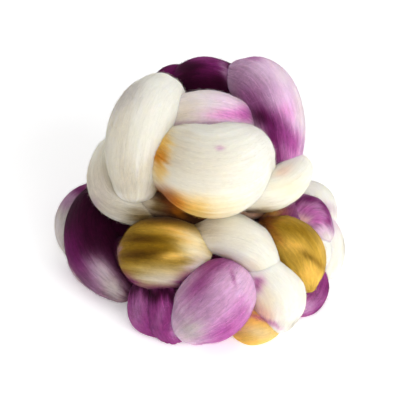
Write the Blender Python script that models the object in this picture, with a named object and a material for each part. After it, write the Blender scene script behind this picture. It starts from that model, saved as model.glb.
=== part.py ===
"""Hand-dyed wool roving: one length of combed top, braided on itself and wound into a two-tier bun.

Metres, +Z up, the origin at the middle of the footprint, on the surface it rests on. The strand shows as
passes: each rises out of the bundle, swells where it is free and dives back under its neighbours. The roving
is the union of its passes, cut flat where its weight presses it on the surface.
"""

import math

import bmesh
import bpy
import numpy as np
from mathutils import Matrix

MM = 0.001

# The front passes are placed on the bun's leaning face, in millimetres: across it, up it and out from it.
FACE_LEAN_DEG = 40.0
FACE_ORIGIN_MM = (0.0, -1.0, -8.0)
# The bun's upright axis, measured from the middle of its footprint.
AXIS_MM = (1.48, -1.55, 0.0)
# The back passes are placed around the bun: degrees from its right side, radius and height. It is this much
# less deep than wide.
DEPTH_SHARE = 0.87
# The middle of the bundle, measured from its axis, which the depth of every section points away from.
MIDDLE_MM = (0.0, 21.0, 37.0)

SECTIONS = 14
SIDES = 20
TIP_SECTIONS = 3
TIP_ROUNDING = 0.8  # how far a tip bulges past its last section, in half depths
SWELL = 0.6  # under 1 fills a pass out towards its ends
BEND_SHARE = 0.55  # how much of the path's bend the sections turn with; more folds a fat pass into itself
SKIN_STEP_MM = 1.4
SKIN_TRIANGLES = 9000
SHARP_DEG = 40.0
SURFACE_BLOCK_MM = 300.0

# Millimetres: where each pass starts, crests and ends, its width and depth at the crest, and the shares of
# those that its start and end keep.
COLUMNS = "name start crest end width depth start_share end_share".split()

FACE_PASSES = [
    ("left_rise", (-26, 121, 38), (-39.5, 97, 57), (-42, 61, 51), 43, 38, 0.8, 0.7),
    ("left_tuck", (-58, 85, 28), (-58, 56, 38), (-29, 44, 39), 23, 28, 0.7, 0.7),
    ("top_nub", (-27, 121, 4), (-18, 130, 10), (-5, 128, 2), 20, 26, 0.7, 0.7),
    ("top_dome", (-12, 127, 10), (5, 132, 18), (23, 122, 14), 29, 32, 0.8, 0.8),
    ("right_sweep", (27, 134, 22), (46, 119, 41), (54.5, 79, 39), 34, 37, 0.66, 0.62),
    ("crown_band", (-22, 99, 34), (7, 105, 48), (30, 95, 34), 31, 36, 0.75, 0.66),
    ("crown_rear", (-26, 104, 18), (6, 105, 26), (34, 101, 18), 26, 34, 0.8, 0.8),
    ("centre_bulge", (-14, 77, 56), (9, 70, 71), (29.5, 82.5, 54), 60, 58, 0.76, 0.7),
    ("cream_tail", (25, 56, 43), (48, 58, 54), (64, 73, 40), 25, 35, 0.8, 0.7),
    ("seam_turn", (-40, 54, 32), (-4, 46, 44), (40, 50, 30), 22, 30, 0.8, 0.8),
    ("right_back", (56, 50, -14), (74, 51, -12), (84, 37, -8), 24, 36, 0.8, 0.7),
    ("right_hood", (48, 34, 28), (68, 43, 24), (81, 29, 16), 26, 28, 0.8, 0.7),
    ("right_edge", (82, 38, 4), (84.5, 19, 10), (82, -2, 10), 17, 26, 0.6, 0.6),
    ("olive_right", (44, 32, 42), (62, 19, 52), (70.5, -4, 46), 34, 36, 0.5, 0.3),
    ("white_cross", (-1, 32, 38), (26, 26.5, 55), (44, 8, 52), 29, 36, 0.7, 0.8),
    ("white_low", (38, 8, 50), (50, -9, 56), (49, -23, 53), 33, 38, 0.8, 0.75),
    ("olive_left", (-42, 15, 37), (-24, 17, 53), (8, 14, 39), 48, 46, 0.6, 0.3),
    ("purple_lobe", (-5, -26, 62), (9.5, -13, 66), (21, 5, 50), 45, 48, 0.7, 0.5),
    ("plum_fan_outer", (-31, -4, 44), (-33, -19, 51), (-27, -31, 52), 23, 28, 0.8, 0.6),
    ("plum_fan_inner", (-20, -5, 50), (-21, -21, 57), (-17, -36, 56), 23, 28, 0.8, 0.6),
    ("plum_left", (-66, 54, 4), (-70, 23, 25), (-48, -6, 38), 32, 40, 0.7, 0.6),
    ("left_edge", (-72, 57, -18), (-85, 40, -8), (-84, 17, 0), 21, 30, 0.7, 0.6),
    ("gold_low", (25, -31, 53), (35, -28.5, 56), (46, -26.5, 52), 17, 27, 0.7, 0.7),
    ("right_low", (76, 4, 27), (70, -9, 34), (62, -19, 42), 18, 28, 0.6, 0.6),
]

BACK_PASSES = [
    ("back_low_right", (28, 66, 16), (48, 82, 19), (72, 62, 32), 40, 38, 0.7, 0.7),
    ("back_low_centre", (56, 62, 36), (78, 81, 21), (100, 64, 13), 46, 38, 0.7, 0.7),
    ("back_low_middle", (92, 62, 13), (108, 81, 19), (126, 62, 34), 40, 36, 0.7, 0.7),
    ("back_low_left", (112, 62, 36), (131, 82, 21), (154, 66, 13), 44, 38, 0.7, 0.7),
    ("back_mid_right", (24, 52, 48), (42, 66, 58), (66, 54, 72), 40, 36, 0.7, 0.7),
    ("back_mid_centre", (52, 52, 80), (76, 70, 64), (100, 54, 46), 46, 38, 0.7, 0.7),
    ("back_mid_middle", (88, 52, 46), (110, 70, 60), (134, 54, 74), 42, 36, 0.7, 0.7),
    ("back_mid_left", (126, 50, 80), (146, 66, 64), (168, 54, 46), 44, 34, 0.7, 0.7),
    ("side_low_left", (160, 64, 13), (184, 72, 14), (208, 64, 13), 32, 34, 0.7, 0.7),
    ("side_low_right", (24, 62, 14), (2, 72, 14), (-22, 62, 14), 34, 32, 0.7, 0.7),
    ("side_mid_right", (32, 50, 38), (6, 54, 38), (-14, 50, 36), 36, 32, 0.7, 0.7),
]

INNER_PASSES = [
    ("inner_front", (196, 58, 19), (270, 32, 19), (344, 58, 19), 46, 42, 0.7, 0.7),
    ("inner_middle", (170, 66, 22), (90, 14, 22), (10, 66, 22), 56, 48, 0.7, 0.7),
    ("inner_back", (138, 68, 20), (90, 58, 22), (42, 68, 20), 50, 46, 0.7, 0.7),
    ("inner_rise", (142, 38, 60), (90, 26, 62), (38, 38, 60), 56, 50, 0.8, 0.8),
    ("inner_top", (116, 56, 72), (78, 46, 84), (52, 54, 76), 50, 40, 0.8, 0.8),
]

COLOUR = (0.62, 0.5, 0.52, 1.0)
ROUGHNESS = 0.9


def face_point(across, up, out):
    """A point on the leaning face, in the bun's own frame."""
    lean = math.radians(FACE_LEAN_DEG)
    x, y, z = FACE_ORIGIN_MM
    return (
        x + across,
        y + up * math.sin(lean) - out * math.cos(lean),
        z + up * math.cos(lean) + out * math.sin(lean),
    )


def around_point(turn_deg, radius, height):
    """A point around the bun's upright axis."""
    turn = math.radians(turn_deg)
    return (radius * math.cos(turn), DEPTH_SHARE * radius * math.sin(turn), height)


def unit(vectors):
    return vectors / np.linalg.norm(vectors, axis=1, keepdims=True)


def swell(along, start_share, end_share):
    """How full a pass is: its tip's share at each end, and 1 at the crest."""
    fullness = (4 * along * (1 - along)) ** SWELL
    tip = np.where(along < 0.5, start_share, end_share)
    return tip + (1 - tip) * fullness


def pass_sections(start, crest, end, width, depth, start_share, end_share):
    """The sections of one pass, an array of sections x sides x 3 in metres, and the points of its two tips."""
    start, crest, end = ((np.array(point) + AXIS_MM) * MM for point in (start, crest, end))
    pull = 2 * crest - (start + end) / 2
    along = np.linspace(0, 1, SECTIONS)[:, None]
    centres = (1 - along) ** 2 * start + 2 * along * (1 - along) * pull + along**2 * end
    headings = (1 - along) * (pull - start) + along * (end - pull)
    headings = unit(BEND_SHARE * headings + (1 - BEND_SHARE) * (end - start) / 2)
    full = swell(along, start_share, end_share)
    half_sizes = full * np.array((width, depth)) / 2 * MM

    # Each tip is a dome: its sections shrink along a quarter circle to a point.
    rounding = np.linspace(0, math.pi / 2, TIP_SECTIONS + 2)[1:, None]
    reach = TIP_ROUNDING * half_sizes.min(axis=1)
    before = centres[0] - headings[0] * reach[0] * np.sin(rounding[::-1])
    after = centres[-1] + headings[-1] * reach[-1] * np.sin(rounding)
    centres = np.vstack([before[1:], centres, after[:-1]])
    headings = np.pad(headings, ((TIP_SECTIONS, TIP_SECTIONS), (0, 0)), mode="edge")
    shrink = np.cos(rounding[:-1])
    half_sizes = np.vstack([half_sizes[0] * shrink[::-1], half_sizes, half_sizes[-1] * shrink])

    outward = centres - (np.array(MIDDLE_MM) + AXIS_MM) * MM
    outward = unit(outward - (outward * headings).sum(axis=1, keepdims=True) * headings)
    sideways = np.cross(headings, outward)
    turn = np.linspace(0, 2 * math.pi, SIDES, endpoint=False)[None, :, None]
    sections = (
        centres[:, None]
        + half_sizes[:, None, :1] * np.cos(turn) * sideways[:, None]
        + half_sizes[:, None, 1:] * np.sin(turn) * outward[:, None]
    )
    return sections, (before[0], after[-1])


def add_pass(name, sections, tips):
    """One closed pass: rings of sides, and a fan to the point of each tip."""
    mesh = bmesh.new()
    rings = [[mesh.verts.new(point) for point in section] for section in sections]
    for ring, following in zip(rings, rings[1:]):
        for side in range(SIDES):
            after = (side + 1) % SIDES
            mesh.faces.new((ring[side], ring[after], following[after], following[side]))
    for ring, tip in ((rings[0], tips[0]), (rings[-1], tips[1])):
        point = mesh.verts.new(tip)
        for side in range(SIDES):
            mesh.faces.new((ring[side], ring[(side + 1) % SIDES], point))
    bmesh.ops.recalc_face_normals(mesh, faces=mesh.faces)
    return add_object(name, mesh)


def add_surface_block():
    """What lies below the surface that the bun rests on, to cut its flat base."""
    mesh = bmesh.new()
    bmesh.ops.create_cube(mesh, size=SURFACE_BLOCK_MM * MM)
    bmesh.ops.translate(mesh, verts=mesh.verts, vec=(0, 0, -SURFACE_BLOCK_MM / 2 * MM))
    return add_object("surface_block", mesh)


def add_object(name, mesh):
    data = bpy.data.meshes.new(name)
    mesh.to_mesh(data)
    mesh.free()
    made = bpy.data.objects.new(name, data)
    bpy.context.collection.objects.link(made)
    return made


def keep_result(target):
    """Makes what the target's modifiers show its own mesh."""
    evaluated = target.evaluated_get(bpy.context.evaluated_depsgraph_get())
    target.data = bpy.data.meshes.new_from_object(evaluated)
    target.modifiers.clear()


def combine(target, operation, others):
    """Joins the others to the target, or cuts them from it, and removes them."""
    operands = bpy.data.collections.new("operands")
    for other in others:
        operands.objects.link(other)
    step = target.modifiers.new(operation.lower(), "BOOLEAN")
    step.operation = operation
    step.operand_type = "COLLECTION"
    step.collection = operands
    step.solver = "EXACT"
    keep_result(target)
    for other in others:
        bpy.data.objects.remove(other, do_unlink=True)
    bpy.data.collections.remove(operands)


def even_out(target):
    """Softens the creases as wool does and spreads the triangles evenly over the skin."""
    skin = target.modifiers.new("skin", "REMESH")
    skin.mode = "VOXEL"
    skin.voxel_size = SKIN_STEP_MM * MM
    keep_result(target)
    fewer = target.modifiers.new("fewer", "DECIMATE")
    fewer.ratio = SKIN_TRIANGLES / sum(len(face.vertices) - 2 for face in target.data.polygons)
    keep_result(target)


def connected(start_face):
    """Every face that can be reached from this one across edges."""
    reached = {start_face}
    waiting = [start_face]
    while waiting:
        for edge in waiting.pop().edges:
            for face in edge.link_faces:
                if face not in reached:
                    reached.add(face)
                    waiting.append(face)
    return reached


def fill_hollows(target):
    """Keeps the skin of the bundle and drops the walls of the gaps closed up between its inner turns."""
    mesh = bmesh.new()
    mesh.from_mesh(target.data)
    topmost = max(mesh.verts, key=lambda vertex: vertex.co.z)
    skin = connected(topmost.link_faces[0])
    hidden = [face for face in mesh.faces if face not in skin]
    bmesh.ops.delete(mesh, geom=hidden, context="FACES")
    mesh.to_mesh(target.data)
    mesh.free()


def centre_footprint(target):
    """Takes out the last fraction of a millimetre between the middle of the footprint and the origin."""
    corners = np.array([vertex.co for vertex in target.data.vertices])
    middle = (corners.min(axis=0) + corners.max(axis=0)) / 2
    target.data.transform(Matrix.Translation((-middle[0], -middle[1], 0)))


def add_wool(target):
    wool = bpy.data.materials.new("wool")
    wool.use_nodes = True
    shader = wool.node_tree.nodes["Principled BSDF"]
    shader.inputs["Base Color"].default_value = COLOUR
    shader.inputs["Roughness"].default_value = ROUGHNESS
    shader.inputs["Metallic"].default_value = 0.0
    target.data.materials.clear()
    target.data.materials.append(wool)


def main():
    for old in list(bpy.data.objects):
        bpy.data.objects.remove(old, do_unlink=True)
    passes = []
    for table, place in ((FACE_PASSES, face_point), (BACK_PASSES, around_point), (INNER_PASSES, around_point)):
        for row in table:
            one = dict(zip(COLUMNS, row))
            points = [place(*one[which]) for which in ("start", "crest", "end")]
            sizes = [one[which] for which in ("width", "depth", "start_share", "end_share")]
            passes.append(add_pass(one["name"], *pass_sections(*points, *sizes)))
    roving, *others = passes
    combine(roving, "UNION", others)
    even_out(roving)
    fill_hollows(roving)
    combine(roving, "DIFFERENCE", [add_surface_block()])
    centre_footprint(roving)
    roving.name = "roving"
    roving.data.name = "roving"
    add_wool(roving)
    roving.data.shade_smooth()
    roving.data.set_sharp_from_angle(angle=math.radians(SHARP_DEG))


if __name__ == "__main__":
    main()
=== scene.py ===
"""Looks for the hand-dyed wool roving: each pass of the bun as a fibrous piece, in a soft studio.

Lengths are in millimetres, and become metres as the meshes are made.
"""

import math

import bpy
import numpy as np
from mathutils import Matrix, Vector


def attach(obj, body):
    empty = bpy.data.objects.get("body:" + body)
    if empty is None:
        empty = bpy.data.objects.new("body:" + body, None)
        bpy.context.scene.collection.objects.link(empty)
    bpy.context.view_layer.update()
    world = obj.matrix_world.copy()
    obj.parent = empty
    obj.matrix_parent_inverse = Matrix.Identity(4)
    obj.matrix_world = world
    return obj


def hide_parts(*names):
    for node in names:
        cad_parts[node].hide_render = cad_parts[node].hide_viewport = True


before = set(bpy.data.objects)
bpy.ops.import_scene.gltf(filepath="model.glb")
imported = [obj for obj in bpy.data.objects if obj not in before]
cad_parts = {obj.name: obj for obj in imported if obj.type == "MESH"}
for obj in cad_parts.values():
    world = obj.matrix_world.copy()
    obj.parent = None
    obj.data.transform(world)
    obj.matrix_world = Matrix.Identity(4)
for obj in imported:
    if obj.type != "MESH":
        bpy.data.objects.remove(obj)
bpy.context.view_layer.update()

MM = 0.001

# The bun's frame and the passes are those of part.py, except that centre_bulge ends 2 mm lower,
# for the straight top edge that shows. The front passes are placed on the bun's leaning face
# (across it, up it and out from it), the others around its axis (degrees from its right side,
# radius and height).
FACE_LEAN_DEG = 40.0
FACE_ORIGIN_MM = (0.0, -1.0, -8.0)
AXIS_MM = (1.48, -1.55, 0.0)
DEPTH_SHARE = 0.87
MIDDLE_MM = (0.0, 21.0, 37.0)
TIP_ROUNDING = 0.8
SWELL = 0.6
BEND_SHARE = 0.55
COLUMNS = "name start crest end width depth start_share end_share".split()

FACE_PASSES = [
    ("left_rise", (-26, 121, 38), (-39.5, 97, 57), (-42, 61, 51), 43, 38, 0.8, 0.7),
    ("left_tuck", (-58, 85, 28), (-58, 56, 38), (-29, 44, 39), 23, 28, 0.7, 0.7),
    ("top_nub", (-27, 121, 4), (-18, 130, 10), (-5, 128, 2), 20, 26, 0.7, 0.7),
    ("top_dome", (-12, 127, 10), (5, 132, 18), (23, 122, 14), 29, 32, 0.8, 0.8),
    ("right_sweep", (27, 134, 22), (46, 119, 41), (54.5, 79, 39), 34, 37, 0.66, 0.62),
    ("crown_band", (-22, 99, 34), (7, 105, 48), (30, 95, 34), 31, 36, 0.75, 0.66),
    ("crown_rear", (-26, 104, 18), (6, 105, 26), (34, 101, 18), 26, 34, 0.8, 0.8),
    ("centre_bulge", (-14, 77, 56), (9, 70, 71), (29.5, 80.5, 54), 60, 58, 0.76, 0.7),
    ("cream_tail", (25, 56, 43), (48, 58, 54), (64, 73, 40), 25, 35, 0.8, 0.7),
    ("seam_turn", (-40, 54, 32), (-4, 46, 44), (40, 50, 30), 22, 30, 0.8, 0.8),
    ("right_back", (56, 50, -14), (74, 51, -12), (84, 37, -8), 24, 36, 0.8, 0.7),
    ("right_hood", (48, 34, 28), (68, 43, 24), (81, 29, 16), 26, 28, 0.8, 0.7),
    ("right_edge", (82, 38, 4), (84.5, 19, 10), (82, -2, 10), 17, 26, 0.6, 0.6),
    ("olive_right", (44, 32, 42), (62, 19, 52), (70.5, -4, 46), 34, 36, 0.5, 0.3),
    ("white_cross", (-1, 32, 38), (26, 26.5, 55), (44, 8, 52), 29, 36, 0.7, 0.8),
    ("white_low", (38, 8, 50), (50, -9, 56), (49, -23, 53), 33, 38, 0.8, 0.75),
    ("olive_left", (-42, 15, 37), (-24, 17, 53), (8, 14, 39), 48, 46, 0.6, 0.3),
    ("purple_lobe", (-5, -26, 62), (9.5, -13, 66), (21, 5, 50), 45, 48, 0.7, 0.5),
    ("plum_fan_outer", (-31, -4, 44), (-33, -19, 51), (-27, -31, 52), 23, 28, 0.8, 0.6),
    ("plum_fan_inner", (-20, -5, 50), (-21, -21, 57), (-17, -36, 56), 23, 28, 0.8, 0.6),
    ("plum_left", (-66, 54, 4), (-70, 23, 25), (-48, -6, 38), 32, 40, 0.7, 0.6),
    ("left_edge", (-72, 57, -18), (-85, 40, -8), (-84, 17, 0), 21, 30, 0.7, 0.6),
    ("gold_low", (25, -31, 53), (35, -28.5, 56), (46, -26.5, 52), 17, 27, 0.7, 0.7),
    ("right_low", (76, 4, 27), (70, -9, 34), (62, -19, 42), 18, 28, 0.6, 0.6),
]

BACK_PASSES = [
    ("back_low_right", (28, 66, 16), (48, 82, 19), (72, 62, 32), 40, 38, 0.7, 0.7),
    ("back_low_centre", (56, 62, 36), (78, 81, 21), (100, 64, 13), 46, 38, 0.7, 0.7),
    ("back_low_middle", (92, 62, 13), (108, 81, 19), (126, 62, 34), 40, 36, 0.7, 0.7),
    ("back_low_left", (112, 62, 36), (131, 82, 21), (154, 66, 13), 44, 38, 0.7, 0.7),
    ("back_mid_right", (24, 52, 48), (42, 66, 58), (66, 54, 72), 40, 36, 0.7, 0.7),
    ("back_mid_centre", (52, 52, 80), (76, 70, 64), (100, 54, 46), 46, 38, 0.7, 0.7),
    ("back_mid_middle", (88, 52, 46), (110, 70, 60), (134, 54, 74), 42, 36, 0.7, 0.7),
    ("back_mid_left", (126, 50, 80), (146, 66, 64), (168, 54, 46), 44, 34, 0.7, 0.7),
    ("side_low_left", (160, 64, 13), (184, 72, 14), (208, 64, 13), 32, 34, 0.7, 0.7),
    ("side_low_right", (24, 62, 14), (2, 72, 14), (-22, 62, 14), 34, 32, 0.7, 0.7),
    ("side_mid_right", (32, 50, 38), (6, 54, 38), (-14, 50, 36), 36, 32, 0.7, 0.7),
]

INNER_PASSES = [
    ("inner_front", (196, 58, 19), (270, 32, 19), (344, 58, 19), 46, 42, 0.7, 0.7),
    ("inner_middle", (170, 66, 22), (90, 14, 22), (10, 66, 22), 56, 48, 0.7, 0.7),
    ("inner_back", (138, 68, 20), (90, 58, 22), (42, 68, 20), 50, 46, 0.7, 0.7),
    ("inner_rise", (142, 38, 60), (90, 26, 62), (38, 38, 60), 56, 50, 0.8, 0.8),
    ("inner_top", (116, 56, 72), (78, 46, 84), (52, 54, 76), 50, 40, 0.8, 0.8),
]

# How a pass is divided: into sections about a step apart, more closely in its tips, and into sides.
FRONT_STEP_MM = 1.0
BACK_STEP_MM = 1.3
INNER_STEP_MM = 2.2
PATH_STRETCH = 1.15  # a pass's length, as a share of the straight line between its ends
TIP_DENSITY = 1.4  # how closely the tips' sections stand, with the others' at 1
SIDE_DENSITY = 0.8  # how closely the sides stand, likewise
CREST_DENSITY = 0.45  # how much closer they stand at the crest than on average
FEWEST_SECTIONS, FEWEST_TIP_SECTIONS, FEWEST_SIDES = 12, 4, 24
TIP_BLEND_MM = 4.0  # how far the sizes at a tip are evened out

# The dyes, as sRGB. Taupe and brown are painted shade, for creases, gaps and edges turned from the
# light;
# oat, grey, ochre, rust and bronze serve as dyes and, in places, as painted shade too.
DYES_AND_SHADES = {
    "white": (245, 243, 232),
    "cream": (248, 236, 200),
    "pearl": (236, 226, 224),
    "oat": (220, 208, 184),
    "grey": (200, 190, 184),
    "taupe": (158, 146, 122),
    "peach": (240, 200, 176),
    "gold": (244, 196, 92),
    "orange": (212, 126, 16),
    "ochre": (188, 150, 54),
    "olive": (142, 106, 18),
    "bronze": (82, 52, 0),
    "rust": (146, 76, 32),
    "brown": (60, 32, 14),
    "plum": (48, 0, 30),
    "violet": (102, 20, 82),
    "orchid": (146, 60, 126),
    "magenta": (178, 82, 156),
    "pink": (230, 146, 208),
    "lilac": (234, 202, 228),
    "mauve": (172, 126, 160),
}

# What colour each pass has all over: its dye, except seam_turn's dark brown, which is painted shade
# in the hollow between the tiers.
GROUND_COLOURS = {
    "left_rise": "white", "left_tuck": "white", "top_nub": "plum", "top_dome": "plum",
    "right_sweep": "lilac", "crown_band": "pearl", "crown_rear": "mauve",
    "centre_bulge": "white", "cream_tail": "white", "seam_turn": "brown", "right_back": "white",
    "right_hood": "mauve", "right_edge": "white", "olive_right": "ochre",
    "white_cross": "white", "white_low": "white", "olive_left": "olive", "purple_lobe": "lilac",
    "plum_fan_outer": "orchid", "plum_fan_inner": "orchid", "plum_left": "plum",
    "left_edge": "grey", "gold_low": "gold", "right_low": "orchid", "back_low_right": "olive",
    "back_low_centre": "lilac", "back_low_middle": "white", "back_low_left": "violet",
    "back_mid_right": "violet", "back_mid_centre": "cream", "back_mid_middle": "gold",
    "back_mid_left": "white", "side_low_left": "violet", "side_low_right": "white",
    "side_mid_right": "violet", "inner_front": "plum", "inner_middle": "plum",
    "inner_back": "plum", "inner_rise": "rust", "inner_top": "magenta",
}
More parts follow.
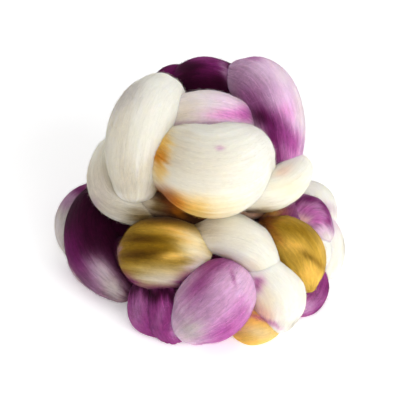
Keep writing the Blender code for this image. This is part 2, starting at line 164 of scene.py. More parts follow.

# Other colours on the passes that show from the front: dyes, and also painted shade in creases and
# gaps and on sides turned from the light, and painted highlights on the dark plum. Each row gives
# how far to the right and down, in four-hundredths of the front view's width, how far the colour
# runs each way, how it is turned, and how strongly it shows. The places are fixed to the wool, as
# face_place finds them on the bun.
FACE_SPOT_COLUMNS = "name dye right down reach_right reach_down turn_deg strength".split()
FACE_SPOTS = [
    # left_rise: its oat, grey and taupe are painted shade, greyer on its left and lower side, away
    # from the light.
    ("left_rise", "oat", 120, 135, 20, 48, 0, 0.55),
    ("left_rise", "grey", 124, 90, 22, 18, 0, 0.6),
    ("left_rise", "taupe", 130, 178, 24, 16, 0, 0.12),
    ("left_rise", "oat", 128, 182, 28, 22, 0, 0.65),
    ("left_rise", "ochre", 162, 192, 8, 18, 0, 0.6),
    # left_tuck: its oat, grey, taupe and bronze are mostly painted shade under left_rise and at its
    # right end, partly darker fibres.
    ("left_tuck", "oat", 96, 188, 30, 30, 0, 0.85),
    ("left_tuck", "grey", 100, 200, 16, 26, -30, 0.6),
    ("left_tuck", "taupe", 106, 207, 16, 9, 30, 0.35),
    ("left_tuck", "taupe", 126, 213, 12, 6, 20, 0.5),
    ("left_tuck", "mauve", 92, 206, 7, 7, 30, 0.4),
    ("left_tuck", "taupe", 140, 211, 14, 7, 0, 0.6),
    ("left_tuck", "bronze", 142, 213, 13, 6, 0, 0.35),
    ("left_tuck", "bronze", 144, 217, 16, 4, -8, 0.7),
    ("left_tuck", "oat", 150, 205, 14, 8, 0, 0.6),
    # top_nub and top_dome: the lighter violet, orchid, magenta and mauve are partly dye and partly
    # painted highlight, on their tops and on the fold at the dome's right.
    ("top_nub", "violet", 165, 73, 11, 8, 0, 0.8),
    ("top_nub", "violet", 172, 67, 11, 8, 0, 0.9),
    ("top_dome", "violet", 200, 56, 34, 6, 0, 0.8),
    ("top_dome", "orchid", 216, 64, 13, 8, 35, 0.9),
    ("top_dome", "magenta", 198, 57, 20, 4, 0, 0.5),
    ("top_dome", "violet", 172, 70, 9, 12, 0, 0.8),
    ("top_dome", "violet", 212, 66, 16, 9, -35, 0.7),
    ("top_dome", "mauve", 226, 72, 4, 15, -20, 0.85),
    ("right_sweep", "mauve", 240, 80, 16, 24, 0, 0.9),
    ("right_sweep", "mauve", 258, 90, 16, 15, 30, 0.65),
    ("right_sweep", "orchid", 254, 55, 15, 5, 0, 0.75),
    ("right_sweep", "magenta", 270, 92, 12, 12, 0, 0.12),
    ("right_sweep", "pearl", 284, 76, 13, 9, 40, 0.5),
    ("right_sweep", "pearl", 302, 108, 8, 30, 0, 0.85),
    ("right_sweep", "pink", 286, 112, 11, 11, 0, 0.6),
    ("right_sweep", "orchid", 247, 97, 11, 13, 40, 0.4),
    ("right_sweep", "violet", 268, 118, 24, 11, 48, 0.98),
    ("right_sweep", "plum", 259, 117, 10, 7, 45, 0.7),
    ("right_sweep", "orchid", 285, 137, 20, 12, 60, 1.0),
    ("right_sweep", "violet", 271, 137, 7, 14, -20, 0.9),
    ("right_sweep", "violet", 277, 156, 7, 10, -20, 0.8),
    ("right_sweep", "magenta", 294, 143, 7, 12, 0, 0.7),
    ("right_sweep", "magenta", 284, 158, 8, 8, 0, 0.7),
    ("right_sweep", "pink", 293, 158, 8, 6, 0, 0.6),
    ("right_sweep", "violet", 280, 169, 8, 5, -20, 0.8),
    ("crown_band", "oat", 180, 112, 18, 14, 0, 0.6),
    ("crown_band", "lilac", 228, 100, 18, 8, 0, 0.6),
    ("crown_band", "pink", 230, 113, 25, 7, 0, 0.95),
    ("crown_band", "magenta", 246, 114, 10, 8, 20, 0.8),
    # crown_band: its plum at the right end and the thin mauve line along its lower edge are painted
    # shade, where it meets right_sweep and centre_bulge.
    ("crown_band", "plum", 260, 116, 7, 9, 0, 0.9),
    ("crown_band", "mauve", 210, 123, 46, 3, 0, 0.7),
    # centre_bulge: its two oat spots are painted shade, greyer towards its left, away from the
    # light.
    ("centre_bulge", "oat", 176, 150, 18, 30, 0, 0.8),
    ("centre_bulge", "gold", 161, 143, 10, 15, 0, 0.9),
    ("centre_bulge", "orange", 160, 158, 8, 11, 0, 1.0),
    ("centre_bulge", "gold", 159, 173, 7, 9, 0, 0.7),
    ("centre_bulge", "oat", 208, 168, 36, 30, 0, 0.5),
    ("centre_bulge", "gold", 195, 210, 28, 13, 5, 1.0),
    ("centre_bulge", "orange", 175, 202, 13, 9, 35, 0.95),
    ("centre_bulge", "ochre", 202, 215, 18, 5, 0, 0.4),
    ("centre_bulge", "rust", 165, 196, 13, 8, 45, 0.9),
    ("centre_bulge", "cream", 223, 208, 20, 12, -10, 0.85),
    ("centre_bulge", "magenta", 220, 148, 4, 2.5, 0, 0.4),
    ("cream_tail", "cream", 288, 186, 26, 14, 0, 0.5),
    ("cream_tail", "peach", 283, 171, 10, 4, -25, 0.55),
    # cream_tail: its oat, ochre and brown along the bottom are painted shade, in the dark seam
    # above white_cross.
    ("cream_tail", "oat", 262, 204, 16, 8, 0, 0.6),
    ("cream_tail", "ochre", 272, 212, 20, 4, 0, 0.5),
    ("cream_tail", "brown", 252, 212, 18, 3.5, -5, 0.8),
    ("seam_turn", "oat", 149, 202, 14, 14, 0, 0.97),
    ("seam_turn", "rust", 170, 201, 10, 10, 0, 0.8),
    ("seam_turn", "bronze", 157, 206, 7, 7, 0, 0.6),
    ("seam_turn", "orange", 178, 211, 9, 5, 40, 0.6),
    ("seam_turn", "peach", 257, 215, 18, 7, 25, 0.9),
    ("seam_turn", "rust", 262, 217, 9, 3, 30, 0.4),
    ("right_back", "mauve", 318, 206, 18, 6, 20, 0.7),
    ("right_hood", "peach", 303, 220, 9, 5, 20, 0.65),
    ("right_hood", "violet", 294, 203, 10, 4, -35, 0.95),
    ("right_hood", "violet", 311, 199, 11, 4, 5, 0.95),
    ("right_hood", "violet", 325, 206, 7, 4, 50, 0.9),
    ("right_hood", "violet", 328, 218, 3, 10, 0, 0.8),
    ("right_hood", "magenta", 319, 222, 8, 7, 0, 0.8),
    ("right_hood", "lilac", 322, 231, 8, 6, 0, 0.9),
    ("right_hood", "pearl", 328, 238, 8, 7, 0, 1.0),
    ("right_hood", "magenta", 308, 210, 14, 6, 10, 0.7),
    ("right_edge", "mauve", 338, 213, 4, 10, -25, 0.85),
    ("right_edge", "lilac", 334, 222, 10, 12, 0, 0.6),
    # The taupe here is painted shade, a dark line along the outer edge.
    ("right_edge", "taupe", 346, 240, 2.5, 26, 0, 0.3),
    # olive_right: these rust, brown and bronze spots are painted shade in the crease along
    # white_cross and white_low.
    ("olive_right", "rust", 266, 222, 12, 12, 40, 0.95),
    ("olive_right", "rust", 276, 236, 5, 12, -40, 0.5),
    ("olive_right", "brown", 269, 234, 22, 2.5, 62, 0.5),
    ("olive_right", "bronze", 289, 273, 24, 2.5, 59, 0.6),
    ("olive_right", "olive", 294, 228, 24, 9, 5, 0.8),
    ("olive_right", "gold", 296, 247, 15, 6, 20, 0.8),
    ("olive_right", "gold", 322, 248, 6, 10, 0, 0.6),
    ("olive_right", "bronze", 314, 261, 14, 3, 38, 0.7),
    ("olive_right", "gold", 312, 275, 13, 13, 0, 0.95),
    # white_cross: the oat and bronze are painted shade, on its left end under centre_bulge.
    ("white_cross", "oat", 236, 238, 28, 14, 20, 0.3),
    ("white_cross", "oat", 206, 231, 15, 13, 0, 0.9),
    ("white_cross", "bronze", 195, 226, 7, 8, 0, 0.6),
    ("white_cross", "cream", 256, 266, 14, 6, 20, 0.5),
    # The thin rust line is painted shade in the crease by purple_lobe.
    ("white_cross", "rust", 239, 266, 16, 2.5, 33, 0.5),
    ("white_low", "magenta", 258, 283, 6, 7, 20, 0.85),
    ("white_low", "cream", 264, 305, 14, 16, 0, 0.9),
    ("white_low", "peach", 262, 316, 14, 9, 20, 0.9),
    ("white_low", "magenta", 270, 323, 14, 2.5, 30, 0.6),
    # The thin taupe line is painted shade along its lower edge, by the floor.
    ("white_low", "taupe", 297, 321, 18, 2, -50, 0.35),
    # The bronze along its top is partly a dark streak of dye and partly painted shadow under the
    # upper tier.
    ("olive_left", "bronze", 160, 215, 34, 8, 0, 0.95),
    ("olive_left", "ochre", 155, 229, 24, 5, 0, 0.8),
    ("olive_left", "ochre", 125, 236, 8, 6, 5, 0.4),
    ("olive_left", "bronze", 142, 239, 22, 5, 5, 0.85),
    ("olive_left", "bronze", 150, 251, 10, 3, 5, 0.3),
    ("olive_left", "gold", 178, 231, 18, 5, 15, 0.95),
    ("olive_left", "cream", 194, 240, 17, 11, 20, 1.0),
    ("olive_left", "gold", 184, 240, 14, 5, 15, 0.4),
    ("olive_left", "olive", 144, 247, 24, 3, 0, 0.8),
    ("olive_left", "bronze", 144, 256, 26, 6, 0, 0.95),
    ("olive_left", "gold", 175, 257, 14, 4, -5, 0.9),
    ("olive_left", "cream", 198, 253, 16, 8, 5, 0.95),
    ("olive_left", "ochre", 138, 267, 18, 3, 5, 0.7),
    ("olive_left", "oat", 168, 281, 44, 13, 0, 1.0),
    ("olive_left", "pearl", 200, 266, 14, 9, -30, 0.9),
    ("olive_left", "violet", 187, 282, 14, 7, -32, 1.0),
    ("olive_left", "violet", 128, 282, 16, 7, 38, 1.0),
    ("olive_left", "violet", 158, 293, 38, 6, 0, 1.0),
    ("olive_left", "mauve", 117, 250, 4, 18, 0, 0.7),
    ("purple_lobe", "pink", 225, 300, 40, 40, 0, 0.35),
    ("purple_lobe", "mauve", 212, 296, 44, 44, 0, 0.3),
    ("purple_lobe", "mauve", 200, 306, 20, 22, -40, 0.55),
    ("purple_lobe", "orchid", 215, 262, 26, 10, -10, 0.9),
    ("purple_lobe", "orchid", 200, 283, 22, 10, -50, 0.8),
    ("purple_lobe", "magenta", 225, 334, 26, 13, -25, 0.9),
    ("purple_lobe", "magenta", 243, 316, 11, 16, 0, 0.5),
    ("purple_lobe", "lilac", 240, 283, 8, 10, 0, 0.4),
    ("purple_lobe", "mauve", 188, 322, 17, 18, -30, 0.45),
    ("purple_lobe", "grey", 188, 330, 14, 13, -30, 0.8),
    # The narrow orchid line is painted shade in a small crease.
    ("purple_lobe", "orchid", 233, 277, 1.6, 8, -15, 0.6),
    ("plum_fan_outer", "plum", 150, 291, 34, 8, 0, 0.95),
    ("plum_fan_inner", "plum", 155, 293, 34, 9, 0, 0.95),
    ("plum_fan_outer", "mauve", 138, 312, 9, 18, 15, 0.6),
    ("plum_fan_inner", "mauve", 160, 318, 5, 14, 20, 0.4),
    ("plum_fan_inner", "violet", 154, 324, 12, 10, 0, 0.12),
    ("plum_fan_inner", "lilac", 177, 332, 5, 9, 0, 0.6),
    ("plum_left", "violet", 70, 254, 14, 28, 0, 1.0),
    ("plum_left", "magenta", 80, 268, 10, 10, -40, 0.4),
    ("plum_left", "mauve", 96, 276, 17, 19, -40, 0.8),
    ("plum_left", "lilac", 104, 274, 9, 13, -40, 0.6),
    ("plum_left", "grey", 104, 270, 8, 17, -33, 0.5),
    ("plum_left", "grey", 114, 290, 17, 12, 45, 0.9),
    ("plum_left", "mauve", 92, 293, 16, 6, 35, 0.7),
    ("left_edge", "violet", 80, 190, 14, 10, 0, 0.95),
    ("left_edge", "mauve", 66, 201, 12, 11, 0, 0.85),
    ("left_edge", "pearl", 58, 232, 8, 14, 0, 0.6),
    ("gold_low", "oat", 258, 333, 24, 9, 0, 0.6),
    ("gold_low", "ochre", 244, 338, 12, 6, 0, 0.4),
    ("gold_low", "magenta", 262, 318, 18, 2.5, 15, 0.7),
    # right_low: its two violet spots are painted shade, a dark line along its outer edge.
    ("right_low", "violet", 330, 284, 5, 14, 20, 0.8),
    ("right_low", "mauve", 318, 299, 10, 10, 0, 0.4),
    ("right_low", "lilac", 306, 307, 8, 8, 0, 0.6),
    ("right_low", "violet", 323, 308, 16, 3, -42, 0.85),
    ("side_mid_right", "gold", 272, 214, 15, 6, -10, 0.9),
]

# The same on the others, in the pass's own terms: along it (0 at its start, 1 at its end) and
# round it (0 on its crest, 1 a quarter turn round).
SPOT_COLUMNS = "name dye along side reach_along reach_side strength".split()
DYE_SPOTS = [
    ("back_low_right", "white", 0.2, 0.0, 0.35, 1.0, 0.9),
    ("back_low_right", "gold", 0.8, 0.3, 0.3, 0.4, 0.8),
    ("back_low_centre", "magenta", 0.3, 0.3, 0.3, 0.5, 0.8),
    ("back_low_centre", "plum", 0.9, 0.0, 0.25, 1.0, 0.8),
    ("back_low_middle", "peach", 0.7, 0.4, 0.3, 0.5, 0.7),
    ("back_low_left", "lilac", 0.7, -0.3, 0.3, 0.5, 0.8),
    ("back_low_left", "plum", 0.2, 0.4, 0.3, 0.5, 0.8),
    ("back_mid_right", "pink", 0.5, 0.0, 0.3, 0.4, 0.8),
    ("back_mid_centre", "olive", 0.25, 0.2, 0.3, 0.5, 0.8),
    ("back_mid_middle", "cream", 0.3, -0.3, 0.3, 0.5, 0.9),
    ("back_mid_middle", "bronze", 0.8, 0.3, 0.25, 0.4, 0.7),
    ("back_mid_left", "lilac", 0.8, 0.2, 0.3, 0.5, 0.7),
    ("side_low_left", "grey", 0.8, 0.0, 0.3, 0.8, 0.8),
    ("side_mid_right", "mauve", 0.6, 0.3, 0.4, 0.5, 0.8),
    ("inner_top", "lilac", 0.5, 0.0, 0.3, 0.6, 0.7),
]

# These shape every spot, the painted shade and highlights as well as the dyes.
SPOT_EDGE = 1.1  # how sharply a dye ends: 1 is a plain bell, and more is sharper
SPOT_CREEP = 0.25  # how much further it has crept along some fibres, as a share of how far it runs
SPOT_WANDER = 0.2  # how far its edge wanders besides, as the same share
# What makes it creep and wander, and how large that is across, out of and along the strand.
BROAD_CREEP_MM, FINE_CREEP_MM, WANDER_MM = (2.5, 2.5, 30.0), (1.2, 1.2, 20.0), (9.0, 9.0, 30.0)
FINE_CREEP_SHARE = 0.5

# Each pass has its own run of seeds, and each thing that varies along it takes one of them.
SEEDS_PER_PASS = 20
LUMP_SEED, FURROW_SEED, FINE_FURROW_SEED, FIBRE_SEED = 0, 1, 2, 5
BROAD_CREEP_SEED, FINE_CREEP_SEED, WANDER_SEED = 11, 12, 13

# What scrambles a seed and the numbers of a cell into one random number of 32 bits.
SEED_FACTOR, SEED_OFFSET = 2654435761, 974634777
CELL_FACTORS = (73856093, 19349663, 83492791)
MIX_FACTOR, MIX_OFFSET, MIX_SHIFT = 2246822519, 3266489917, 15
LOW_BITS = 0xFFFFFFFF

FLOOR_GAP_MM = 0.02  # nothing comes closer to the floor
LUMP_MM, LUMP_LENGTH_MM = 0.5, 22.0
FURROW_MM, FURROW_WIDTH_MM = 0.3, 6.0
FIBRE_RUN = 8.0  # how many times longer than wide a furrow is
FILL_MM = 9.0  # neighbours closer than this press into the crease between them
FILL_RISE_MM = 0.675  # how far the surface swells where they touch
CALM_SHARE = 0.5  # how much of the lumps and furrows that takes away
SLICE_MM = 1.0  # how far ahead of and behind itself a section stands for its pass

# The passes that are drawn up into pleats, and how much deeper than the rest.
PLEATS = {
    "plum_fan_outer": 3.0, "plum_fan_inner": 3.0, "olive_right": 1.8, "right_hood": 2.0,
    "top_dome": 1.5,
}

# The fibres that lie on the surface, the ones that bridge the creases and the short ones that
# stand off it: how many to a square centimetre, then millimetres and degrees.
FIBRE_COLUMNS = (
    "kind per_cm2 shortest longest half_width lift free_end turn_deg wave_mm crease_only".split()
)
FIBRES = [
    ("lying", 16.0, 9.0, 26.0, 0.1, 0.12, 0.0, 7.0, 0.5, False),
    ("bridging", 32.0, 4.0, 9.0, 0.06, 0.9, 0.0, 60.0, 1.0, True),
    ("flyaway", 15.0, 2.5, 10.0, 0.045, 0.8, 1.8, 45.0, 2.0, False),
]
FIBRE_POINTS = 6
FIBRE_WAVES = (0.3, 1.2)  # how many waves a fibre has, at least and at most
FIBRE_LIFTS = (0.3, 1.0)  # the share of its lift that a fibre has, at least and at most
FIBRE_TAPER, TAPER_POWER = 0.8, 3  # how much thinner its ends are, and how late it thins
FIBRES_FROM_MM = 2.0  # none starts lower than this
BURIED_MM = 0.3  # nor this far inside a neighbour
CREASE_WIDTH_MM = 2.5
WHITE_VARIES, DYED_VARIES = 0.012, 0.15  # how much fibres differ, and how much more where dyed
MM2_PER_CM2 = 100

UPPER_COUNT = 11  # how many front passes, from the first, have their fibres in fibres_upper

# The settings of the wool's shader. Its roughness varies besides.
WOOL_SETTINGS = {
    "Roughness": 0.85,
    "Specular IOR Level": 0.05,
    "Sheen Weight": 0.06,
    "Sheen Roughness": 0.5,
    "Subsurface Radius": (1.0, 0.85, 0.5),
    "Subsurface Scale": 0.005,
}
STRAND_SUBSURFACE, LOOSE_SUBSURFACE = 0.7, 0
# Its streaks: their width in mm, how many times longer than wide they are, and their detail.
BROAD_STREAKS, FINE_STREAKS, MOTTLE = (1.6, 30, 3.0), (0.5, 40, 4.0), (1.6, 2, 3.0)
STREAK_ROUGHNESS = 0.6
MOTTLE_SHARE = 0.5  # of what lightens and darkens the wool, the rest being the broad streaks
NOISE_LOW, NOISE_HIGH = 0.35, 0.65  # where most of that lies
# White wool hardly streaks, and the more dye a fibre took, the more it differs from the next.
# So the darkest and the lightest streaks are these shares of the dye where the wool is least and
# most green.
LEAST_GREEN, MOST_GREEN = 0.05, 0.8
DARKEST, LIGHTEST = (0.78, 0.96), (1.22, 1.03)
SMOOTHEST, ROUGHEST = 0.7, 0.95
BUMP_STRENGTH, BUMP_M = 0.15, 0.0003

VIEW_STEPS = 400
VIEW_UP_MM, VIEW_OUT_MM, VIEW_DISTANCE_MM, VIEW_SPAN_MM = 51.7, 45.0, 900.0, 260.0
VIEW_STEP_MM = VIEW_SPAN_MM / VIEW_STEPS
SENSOR_MM = 36.0

FLOOR_HALF_M = 2.0
# It gives off a little light, so that it comes out white also where little falls on it.
FLOOR_SETTINGS = {
    "Base Color": (0.97, 0.97, 0.97, 1),
    "Roughness": 0.9,
    "Emission Color": (1, 1, 1, 1),
    "Emission Strength": 0.3,
}
WORLD_SETTINGS = {"Color": (1, 1, 1, 1), "Strength": 0.555}
# The lamps: name, place and size in metres, and watts. They point at the middle of the bun.
LAMPS = [
    ("key", (0.85, -0.95, 0.75), 1.0, 12.6),
    ("top", (-0.1, 0.1, 1.4), 1.0, 3.0),
]
LAMP_AIM_M = (0.0, 0.0, 0.05)


def unit(vectors):
    return vectors / np.linalg.norm(vectors, axis=-1, keepdims=True)


def face_point(across, up, out):
    lean = math.radians(FACE_LEAN_DEG)
    x, y, z = FACE_ORIGIN_MM
    return (
        x + across,
        y + up * math.sin(lean) - out * math.cos(lean),
        z + up * math.cos(lean) + out * math.sin(lean),
    )


def around_point(turn_deg, radius, height):
    turn = math.radians(turn_deg)
    return (radius * math.cos(turn), DEPTH_SHARE * radius * math.sin(turn), height)


def swell(along, start_share, end_share):
    fullness = (4 * along * (1 - along)) ** SWELL
    tip = np.where(along < 0.5, start_share, end_share)
    return tip + (1 - tip) * fullness


def smooth_sizes(sizes, reach):
    """The sizes evened out along the pass, still running to nothing at its tips."""
    weights = np.cos(np.linspace(-math.pi / 2, math.pi / 2, 2 * reach + 3)[1:-1])
    weights /= weights.sum()
    longer = np.vstack([-sizes[:reach][::-1], sizes, -sizes[-reach:][::-1]])
    return np.stack([np.convolve(column, weights, "valid") for column in longer.T], axis=1)


def random_at(cells, seed):
    """A number from -1 to 1 for every whole-numbered cell, always the same."""
    start = (seed * SEED_FACTOR + SEED_OFFSET) % 2**32
    mixed = np.full(cells.shape[:-1], start, np.uint64)
    for axis, factor in enumerate(CELL_FACTORS):
        scaled = (cells[..., axis].astype(np.int64) * factor).astype(np.uint64)
        mixed ^= scaled & np.uint64(LOW_BITS)
        mixed = (mixed * np.uint64(MIX_FACTOR) + np.uint64(MIX_OFFSET)) & np.uint64(LOW_BITS)
        mixed ^= mixed >> np.uint64(MIX_SHIFT)
    return mixed.astype(np.float64) / 2**31 - 1


def noise(points, seed):
    """Smooth noise from -1 to 1 at these points, one lump to a unit."""
    cells = np.floor(points).astype(np.int64)
    part = points - cells
    part = part * part * (3 - 2 * part)
    total = np.zeros(points.shape[:-1])
    for corner in np.ndindex(2, 2, 2):
        weight = np.prod(np.where(corner, part, 1 - part), axis=-1)
        total += weight * random_at(cells + corner, seed)
    return total


class Pass:
    """One pass of the strand: its sections, its surface and its own coordinates."""

    def __init__(self, row, place, step_mm, seed):
        one = dict(zip(COLUMNS, row))
        self.name, self.seed = one["name"], seed
        start, crest, end = (
            np.array(place(*one[which])) + AXIS_MM for which in ("start", "crest", "end")
        )
        half_size = np.array((one["width"], one["depth"])) / 2
        # Its path is a curve that is pulled so far that it goes through the crest halfway.
        pull = 2 * crest - (start + end) / 2
        length = np.linalg.norm(end - start) * PATH_STRETCH
        count = max(FEWEST_SECTIONS, round(length / step_mm))
        along = np.linspace(0, 1, count)[:, None]
        centres = (1 - along) ** 2 * start + 2 * along * (1 - along) * pull + along**2 * end
        headings = (1 - along) * (pull - start) + along * (end - pull)
        headings = unit(BEND_SHARE * headings + (1 - BEND_SHARE) * (end - start) / 2)
        half_sizes = swell(along, one["start_share"], one["end_share"]) * half_size

        # Past each end of the path the strand closes in a rounded tip.
        reach = TIP_ROUNDING * half_sizes.min(axis=1)
        tip_count = max(FEWEST_TIP_SECTIONS, round(TIP_DENSITY * reach.mean() / step_mm))
        rounding = np.linspace(0, math.pi / 2, tip_count + 2)[1:, None]
        before = centres[0] - headings[0] * reach[0] * np.sin(rounding[::-1])
        after = centres[-1] + headings[-1] * reach[-1] * np.sin(rounding)
        self.tips = before[0], after[-1]
        shrink, slope = np.cos(rounding[:-1]), np.sin(rounding[:-1, 0])
        self.centres = np.vstack([before[1:], centres, after[:-1]])
        self.headings = np.pad(headings, ((tip_count, tip_count), (0, 0)), mode="edge")
        half_sizes = np.vstack([half_sizes[0] * shrink[::-1], half_sizes, half_sizes[-1] * shrink])
        self.half_sizes = smooth_sizes(half_sizes, round(TIP_BLEND_MM / step_mm))
        past = slope * reach.mean() / length
        self.along = np.concatenate([-past[::-1], along[:, 0], 1 + past])
        self.slope = np.concatenate([-slope[::-1], np.zeros(count), slope])
        self.length = length

        # Its own directions at each section: out from the middle of the bun, and sideways.
        outward = self.centres - (np.array(MIDDLE_MM) + AXIS_MM)
        outward = outward - (outward * self.headings).sum(axis=1, keepdims=True) * self.headings
        self.outward = unit(outward)
        self.sideways = np.cross(self.headings, self.outward)

        # Its surface. Round a section, side goes from -2 to 2, and is 0 on the crest.
        around = math.pi * half_size.sum()
        sides = max(FEWEST_SIDES, round(SIDE_DENSITY * around / step_mm))
        spread = np.linspace(-1, 1, sides, endpoint=False)
        self.side = 2 * (spread - CREST_DENSITY * np.sin(math.pi * spread) / math.pi)
        turn = (1 - self.side) * math.pi / 2
        across, out = np.cos(turn)[None, :, None], np.sin(turn)[None, :, None]
        wide, deep = self.half_sizes[:, None, :1], self.half_sizes[:, None, 1:]
        left, up = self.sideways[:, None], self.outward[:, None]
        self.points = self.centres[:, None] + wide * across * left + deep * out * up
        flat = np.sqrt(1 - self.slope**2)[:, None, None]
        self.normals = unit(
            flat * unit(across / wide * left + out / deep * up)
            + self.slope[:, None, None] * self.headings[:, None]
        )

        # Where each point would be on a straight, round strand, which noise and dye follow.
        radius = half_size.mean()
        self.strand = np.empty(self.points.shape)
        self.strand[..., 0] = radius * np.cos(turn)
        self.strand[..., 1] = radius * np.sin(turn)
        self.strand[..., 2] = (self.along * length)[:, None]

    def nearness(self, points):
        """How far outside this pass each point is, in mm; less than 0 inside it."""
        found = np.full(len(points), FILL_MM)
        margin = self.half_sizes.max() + FILL_MM
        low, high = self.centres.min(axis=0) - margin, self.centres.max(axis=0) + margin
        near = np.flatnonzero(((points > low) & (points < high)).all(axis=1))
        if len(near):
            ahead, across, out = (
                points[near] @ axes.T - (self.centres * axes).sum(axis=1)
                for axes in (self.headings, self.sideways, self.outward)
            )
            ahead = np.abs(ahead)
            reach = np.hypot(across, out)
            share = np.hypot(across / self.half_sizes[:, 0], out / self.half_sizes[:, 1])
            distance = (share - 1) * reach / np.maximum(share, 1e-6)
            outside = np.hypot(np.maximum(distance, 0), np.maximum(ahead - SLICE_MM, 0))
            # Only a section that a point is about level with can have it inside.
            inside = np.where(ahead < 2 * SLICE_MM, np.minimum(distance, 0), 0)
            found[near] = np.minimum((outside + inside).min(axis=1), FILL_MM)
        return found


def shape_pass(one, others):
    """Lumps and furrows along the fibres, and a swelling where a neighbour presses in."""
    strand = one.strand
    stretched = strand / (FURROW_WIDTH_MM, FURROW_WIDTH_MM, FURROW_WIDTH_MM * FIBRE_RUN)
    furrow = FURROW_MM * PLEATS.get(one.name, 1)
    push = LUMP_MM * noise(strand / LUMP_LENGTH_MM, one.seed + LUMP_SEED)
    push += (
        furrow * noise(stretched, one.seed + FURROW_SEED)
        + furrow / 2 * noise(2 * stretched, one.seed + FINE_FURROW_SEED)
    )
    points = one.points.reshape(-1, 3)
    gap = np.full(len(points), FILL_MM)
    for other in others:
        if other is not one:
            gap = np.minimum(gap, other.nearness(points))
    one.gap = gap.reshape(push.shape)
    closeness = 1 - np.clip(one.gap, 0, FILL_MM) / FILL_MM
    push = push * (1 - CALM_SHARE * closeness) + FILL_RISE_MM * closeness**2
    one.points = one.points + one.normals * push[..., None]
    one.points[..., 2] = np.maximum(one.points[..., 2], FLOOR_GAP_MM)


def face_place(points):
    """Where these points of the bun are in FACE_SPOTS' terms: steps to the right and down."""
    lean = math.radians(FACE_LEAN_DEG)
    x, y, z = (points - np.array(AXIS_MM) - FACE_ORIGIN_MM).T
    up = y * math.sin(lean) + z * math.cos(lean)
    out = z * math.sin(lean) - y * math.cos(lean)
    step = VIEW_STEP_MM * (1 + (VIEW_OUT_MM - out) / VIEW_DISTANCE_MM)
    return VIEW_STEPS / 2 + x / step, VIEW_STEPS / 2 - (up - VIEW_UP_MM) / step


def spots_on(one, columns, rows):
    """The spots of a table that are this pass's."""
    spots = (dict(zip(columns, row)) for row in rows)
    return [spot for spot in spots if spot["name"] == one.name]


def dye(one):
    """The colour of every vertex, as sRGB from 0 to 1: dyes, with shade and highlights painted in
    where FACE_SPOTS put them.
    """
    strand, seed = one.strand, one.seed
    creep = noise(strand / BROAD_CREEP_MM, seed + BROAD_CREEP_SEED)
    creep = creep + FINE_CREEP_SHARE * noise(strand / FINE_CREEP_MM, seed + FINE_CREEP_SEED)
    creep = SPOT_CREEP * creep
    wander = SPOT_WANDER * noise(strand / WANDER_MM, seed + WANDER_SEED)
    colour = np.empty(strand.shape)
    colour[:] = np.array(DYES_AND_SHADES[GROUND_COLOURS[one.name]]) / 255

    def apply_spot(spot, off):
        spot_weight = (spot["strength"] * np.exp(-(off**SPOT_EDGE)))[..., None]
        return colour * (1 - spot_weight) + np.array(DYES_AND_SHADES[spot["dye"]]) / 255 * spot_weight

    shape = strand.shape[:2]
    right, down = (values.reshape(shape) for values in face_place(one.points.reshape(-1, 3)))
    # A millimetre along the strand in the same terms, so that the spots' colour creeps along the
    # fibres.
    ahead, below = (
        (values - start)[:, None]
        for values, start in zip(
            face_place(one.centres + one.headings), face_place(one.centres)
        )
    )
    # FACE_SPOTS lay on dyes and painted shade and highlights alike.
    for spot in spots_on(one, FACE_SPOT_COLUMNS, FACE_SPOTS):
        reach = math.sqrt(spot["reach_right"] * spot["reach_down"])
        x = right - spot["right"] + reach * (creep * ahead + wander)
        y = down - spot["down"] + reach * (creep * below + wander)
        turn = math.radians(spot["turn_deg"])
        x, y = (
            x * math.cos(turn) + y * math.sin(turn),
            y * math.cos(turn) - x * math.sin(turn),
        )
        colour = apply_spot(spot, (x / spot["reach_right"]) ** 2 + (y / spot["reach_down"]) ** 2)
    for spot in spots_on(one, SPOT_COLUMNS, DYE_SPOTS):
        along = (one.along[:, None] - spot["along"]) / spot["reach_along"] + creep
        side = (one.side - spot["side"] + 2) % 4 - 2  # the shorter way round
        colour = apply_spot(spot, along**2 + (side / spot["reach_side"] + wander) ** 2)
    return colour


def to_linear(colour):
    """sRGB to linear light, by the sRGB standard's own numbers."""
    return np.where(colour < 0.04045, colour / 12.92, ((colour + 0.055) / 1.055) ** 2.4)


def add_mesh(name, points, faces, colours, strands, material, normals=None):
    mesh = bpy.data.meshes.new(name)
    mesh.from_pydata(points, [], faces)
    mesh.update()
    mesh.shade_smooth()
    if normals is not None:
        mesh.normals_split_custom_set_from_vertices(normals)
    layer = mesh.attributes.new("dye", "FLOAT_COLOR", "POINT")
    rgba = np.ones((len(points), 4), np.float32)
    rgba[:, :3] = to_linear(colours)
    layer.data.foreach_set("color", rgba.ravel())
    layer = mesh.attributes.new("strand", "FLOAT_VECTOR", "POINT")
    layer.data.foreach_set("vector", np.asarray(strands, np.float32).ravel())
    mesh.materials.append(material)
    made = bpy.data.objects.new(name, mesh)
    bpy.context.collection.objects.link(made)
    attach(made, "root")
    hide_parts("roving")


def add_pass(one, material):
    """The pass as one closed mesh: its rings, and a fan to each tip."""
    rings, sides = one.points.shape[:2]
    index = np.arange(rings * sides).reshape(rings, sides)
    following = np.roll(index, -1, axis=1)
    quads = np.stack([index[:-1], index[1:], following[1:], following[:-1]], axis=-1)
    first, last = rings * sides, rings * sides + 1
    faces = [tuple(quad) for quad in quads.reshape(-1, 4).tolist()]
    faces += [(a, b, first) for a, b in zip(index[0].tolist(), following[0].tolist())]
    faces += [(b, a, last) for a, b in zip(index[-1].tolist(), following[-1].tolist())]
    tips = np.array(one.tips)
    tips[:, 2] = np.maximum(tips[:, 2], FLOOR_GAP_MM)
    points = np.vstack([one.points.reshape(-1, 3), tips]) * MM
    colours, strands = (
        np.vstack([grid.reshape(-1, 3), grid[0].mean(axis=0), grid[-1].mean(axis=0)])
        for grid in (one.colour, one.strand)
    )
    add_mesh(one.name, points.tolist(), faces, colours, strands, material)


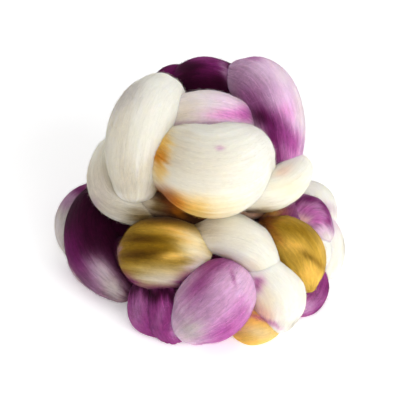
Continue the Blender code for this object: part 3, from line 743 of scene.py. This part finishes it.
def sample(grid, ring, side):
    """The grid's values at these places between its rings and its sides."""
    low = np.clip(np.floor(ring).astype(int), 0, grid.shape[0] - 2)
    left = np.floor(side).astype(int)
    up, over = (ring - low)[..., None], (side - left)[..., None]
    left, right = left % grid.shape[1], (left + 1) % grid.shape[1]
    below = grid[low, left] * (1 - over) + grid[low, right] * over
    above = grid[low + 1, left] * (1 - over) + grid[low + 1, right] * over
    return below * (1 - up) + above * up


def grow_fibres(one):
    """The fibres of one pass as their points, colours, strand coordinates and normals."""
    dice = np.random.default_rng(one.seed + FIBRE_SEED)
    rings, sides = one.points.shape[:2]
    along_step = np.linalg.norm(np.gradient(one.points, axis=0), axis=2)
    side_step = np.linalg.norm(np.roll(one.points, -1, axis=1) - one.points, axis=2)
    open_to_air = (one.gap > -BURIED_MM) * (one.points[..., 2] > FIBRES_FROM_MM)
    area = along_step * side_step * open_to_air
    runs = one.along * one.length
    along = np.linspace(0, 1, FIBRE_POINTS)[None, :]
    made = []
    for row in FIBRES:
        kind = dict(zip(FIBRE_COLUMNS, row))
        weight = area * (one.gap < CREASE_WIDTH_MM) if kind["crease_only"] else area
        count = int(weight.sum() / MM2_PER_CM2 * kind["per_cm2"])
        if not count:
            continue
        each = (count, 1)
        # Where each has its root, and how it runs from there along and across the strand.
        root = dice.choice(rings * sides, count, p=(weight / weight.sum()).ravel())
        length = dice.uniform(kind["shortest"], kind["longest"], each)
        turn = np.radians(dice.normal(0, kind["turn_deg"], each))
        heading = dice.choice((-1.0, 1.0), each)
        run = runs[root // sides][:, None] + heading * along * length * np.cos(turn)
        ring = np.interp(run, runs, np.arange(rings))
        waves = along * dice.uniform(*FIBRE_WAVES, each) + dice.random(each)
        wave = kind["wave_mm"] * np.sin(math.tau * waves)
        across = along * length * np.sin(turn) + wave - wave[:, :1]
        side = (root % sides)[:, None] + dice.random(each)
        side = side + across / side_step.ravel()[root][:, None]
        points, normals = sample(one.points, ring, side), unit(sample(one.normals, ring, side))
        # It rises off the surface in the middle, and at the end that is free.
        lift = kind["lift"] * dice.uniform(*FIBRE_LIFTS, each) * np.sin(math.pi * along)
        lift = lift + kind["free_end"] * dice.random(each) * along**2
        points = points + normals * lift[..., None]
        ahead = unit(np.gradient(points, axis=1) + 1e-9)
        taper = 1 - FIBRE_TAPER * np.abs(2 * along - 1) ** TAPER_POWER
        wide = unit(np.cross(normals, ahead)) * (kind["half_width"] * taper)[..., None]
        colour = sample(one.colour, ring, side)
        vary = WHITE_VARIES + DYED_VARIES * (1 - colour[..., 1:2])
        colour = np.clip(colour * (1 + vary * dice.normal(0, 1, (count, 1, 1))), 0, 1)
        strands = sample(one.strand, ring, side)
        made.append(
            [np.stack([points - wide, points + wide], axis=2)]
            + [np.repeat(values[:, :, None], 2, axis=2) for values in (colour, strands, normals)]
        )
    return [np.concatenate(values).reshape(-1, 3) for values in zip(*made)]


def add_fibres(name, passes, material):
    """The fibres of these passes as one mesh of ribbons."""
    points, colours, strands, normals = (
        np.concatenate(values) for values in zip(*(grow_fibres(one) for one in passes))
    )
    points[:, 2] = np.maximum(points[:, 2], FLOOR_GAP_MM)
    index = np.arange(len(points)).reshape(-1, FIBRE_POINTS, 2)
    near, far = index[:, :-1], index[:, 1:]
    faces = np.stack([near[..., 1], near[..., 0], far[..., 0], far[..., 1]], axis=-1)
    faces = faces.reshape(-1, 4).tolist()
    add_mesh(name, (points * MM).tolist(), faces, colours, strands, material, normals)


def add_node(tree, kind, **inputs):
    node = tree.nodes.new(kind)
    for name, value in inputs.items():
        node.inputs[name.replace("_", " ")].default_value = value
    return node


def add_math(tree, operation, *values):
    """A math node that takes each of these from its socket or as a number."""
    node = tree.nodes.new("ShaderNodeMath")
    node.operation = operation
    for socket, value in zip(node.inputs, values):
        if isinstance(value, float):
            socket.default_value = value
        else:
            tree.links.new(value, socket)
    return node.outputs[0]


def add_attribute(tree, name):
    node = tree.nodes.new("ShaderNodeAttribute")
    node.attribute_name = name
    return node


def add_streaks(tree, strand, width_mm, run, detail):
    """Noise drawn out along the fibres."""
    stretch = add_node(tree, "ShaderNodeVectorMath")
    stretch.operation = "MULTIPLY"
    stretch.inputs[1].default_value = (1 / width_mm, 1 / width_mm, 1 / (width_mm * run))
    tree.links.new(strand.outputs["Vector"], stretch.inputs[0])
    texture = add_node(
        tree, "ShaderNodeTexNoise", Scale=1.0, Detail=detail, Roughness=STREAK_ROUGHNESS
    )
    tree.links.new(stretch.outputs[0], texture.inputs["Vector"])
    return texture.outputs["Fac"]


def new_paint(name, settings):
    """A new material, and its shader with these settings."""
    paint = bpy.data.materials.new(name)
    paint.use_nodes = True
    shader = paint.node_tree.nodes["Principled BSDF"]
    for socket, value in settings.items():
        shader.inputs[socket].default_value = value
    return paint, shader


def wool_material(name, subsurface):
    """Combed wool: its dyes and the painted shade and highlights, streaked fibre by fibre, with a
    soft sheen and a fine nap.
    """
    wool, shader = new_paint(name, {**WOOL_SETTINGS, "Subsurface Weight": subsurface})
    tree = wool.node_tree
    link = tree.links.new
    colour, strand = add_attribute(tree, "dye"), add_attribute(tree, "strand")
    broad, fine, mottle = (
        add_streaks(tree, strand, *streaks) for streaks in (BROAD_STREAKS, FINE_STREAKS, MOTTLE)
    )
    parts = tree.nodes.new("ShaderNodeSeparateColor")
    link(colour.outputs["Color"], parts.inputs["Color"])
    light = add_node(tree, "ShaderNodeMapRange", From_Min=NOISE_LOW, From_Max=NOISE_HIGH)
    for (dyed, white), which in ((DARKEST, "To Min"), (LIGHTEST, "To Max")):
        bound = add_node(
            tree, "ShaderNodeMapRange",
            From_Min=LEAST_GREEN, From_Max=MOST_GREEN, To_Min=dyed, To_Max=white,
        )
        link(parts.outputs["Green"], bound.inputs["Value"])
        link(bound.outputs["Result"], light.inputs[which])
    rest = add_math(tree, "MULTIPLY", broad, 1 - MOTTLE_SHARE)
    link(add_math(tree, "MULTIPLY_ADD", mottle, MOTTLE_SHARE, rest), light.inputs["Value"])
    tint = add_node(tree, "ShaderNodeVectorMath")
    tint.operation = "SCALE"
    link(colour.outputs["Color"], tint.inputs[0])
    link(light.outputs["Result"], tint.inputs["Scale"])
    link(tint.outputs[0], shader.inputs["Base Color"])
    rough = add_node(tree, "ShaderNodeMapRange", To_Min=SMOOTHEST, To_Max=ROUGHEST)
    link(fine, rough.inputs["Value"])
    link(rough.outputs["Result"], shader.inputs["Roughness"])
    bump = add_node(tree, "ShaderNodeBump", Strength=BUMP_STRENGTH, Distance=BUMP_M)
    link(add_math(tree, "ADD", broad, fine), bump.inputs["Height"])
    link(bump.outputs["Normal"], shader.inputs["Normal"])
    return wool


def add_floor():
    mesh = bpy.data.meshes.new("floor")
    half = FLOOR_HALF_M
    corners = [(-half, -half, 0), (half, -half, 0), (half, half, 0), (-half, half, 0)]
    mesh.from_pydata(corners, [], [(0, 1, 2, 3)])
    mesh.materials.append(new_paint("pale_floor", FLOOR_SETTINGS)[0])
    floor = bpy.data.objects.new("floor", mesh)
    bpy.context.collection.objects.link(floor)


def add_light():
    """Soft light from all round, a little stronger from the right and from above."""
    world = bpy.data.worlds.new("studio")
    world.use_nodes = True
    for socket, value in WORLD_SETTINGS.items():
        world.node_tree.nodes["Background"].inputs[socket].default_value = value
    bpy.context.scene.world = world
    for name, place, size, power in LAMPS:
        lamp = bpy.data.lights.new(name, "AREA")
        lamp.size, lamp.energy = size, power
        holder = bpy.data.objects.new(name, lamp)
        holder.location = place
        aim = Vector(LAMP_AIM_M) - holder.location
        holder.rotation_euler = aim.to_track_quat("-Z", "Y").to_euler()
        bpy.context.collection.objects.link(holder)
    bpy.context.scene.view_settings.view_transform = "Standard"


def add_camera():
    data = bpy.data.cameras.new("camera")
    data.sensor_width = SENSOR_MM
    data.lens = SENSOR_MM * VIEW_DISTANCE_MM / VIEW_SPAN_MM
    camera = bpy.data.objects.new("camera", data)
    place = np.array(face_point(0, VIEW_UP_MM, VIEW_OUT_MM + VIEW_DISTANCE_MM)) + AXIS_MM
    camera.location = place * MM
    camera.rotation_euler = (math.radians(90 - FACE_LEAN_DEG), 0, 0)
    bpy.context.collection.objects.link(camera)
    bpy.context.scene.camera = camera


def main():
    add_camera()
    add_floor()
    add_light()
    passes = []
    for table, place, step_mm in (
        (FACE_PASSES, face_point, FRONT_STEP_MM),
        (BACK_PASSES, around_point, BACK_STEP_MM),
        (INNER_PASSES, around_point, INNER_STEP_MM),
    ):
        for row in table:
            passes.append(Pass(row, place, step_mm, seed=SEEDS_PER_PASS * len(passes)))
    wool = wool_material("dyed_wool", STRAND_SUBSURFACE)
    loose = wool_material("loose_fibres", LOOSE_SUBSURFACE)
    for one in passes:
        shape_pass(one, passes)
        one.colour = dye(one)
        add_pass(one, wool)
    front, outer = len(FACE_PASSES), len(FACE_PASSES) + len(BACK_PASSES)
    add_fibres("fibres_upper", passes[:UPPER_COUNT], loose)
    add_fibres("fibres_lower", passes[UPPER_COUNT:front], loose)
    add_fibres("fibres_back", passes[front:outer], loose)


main()
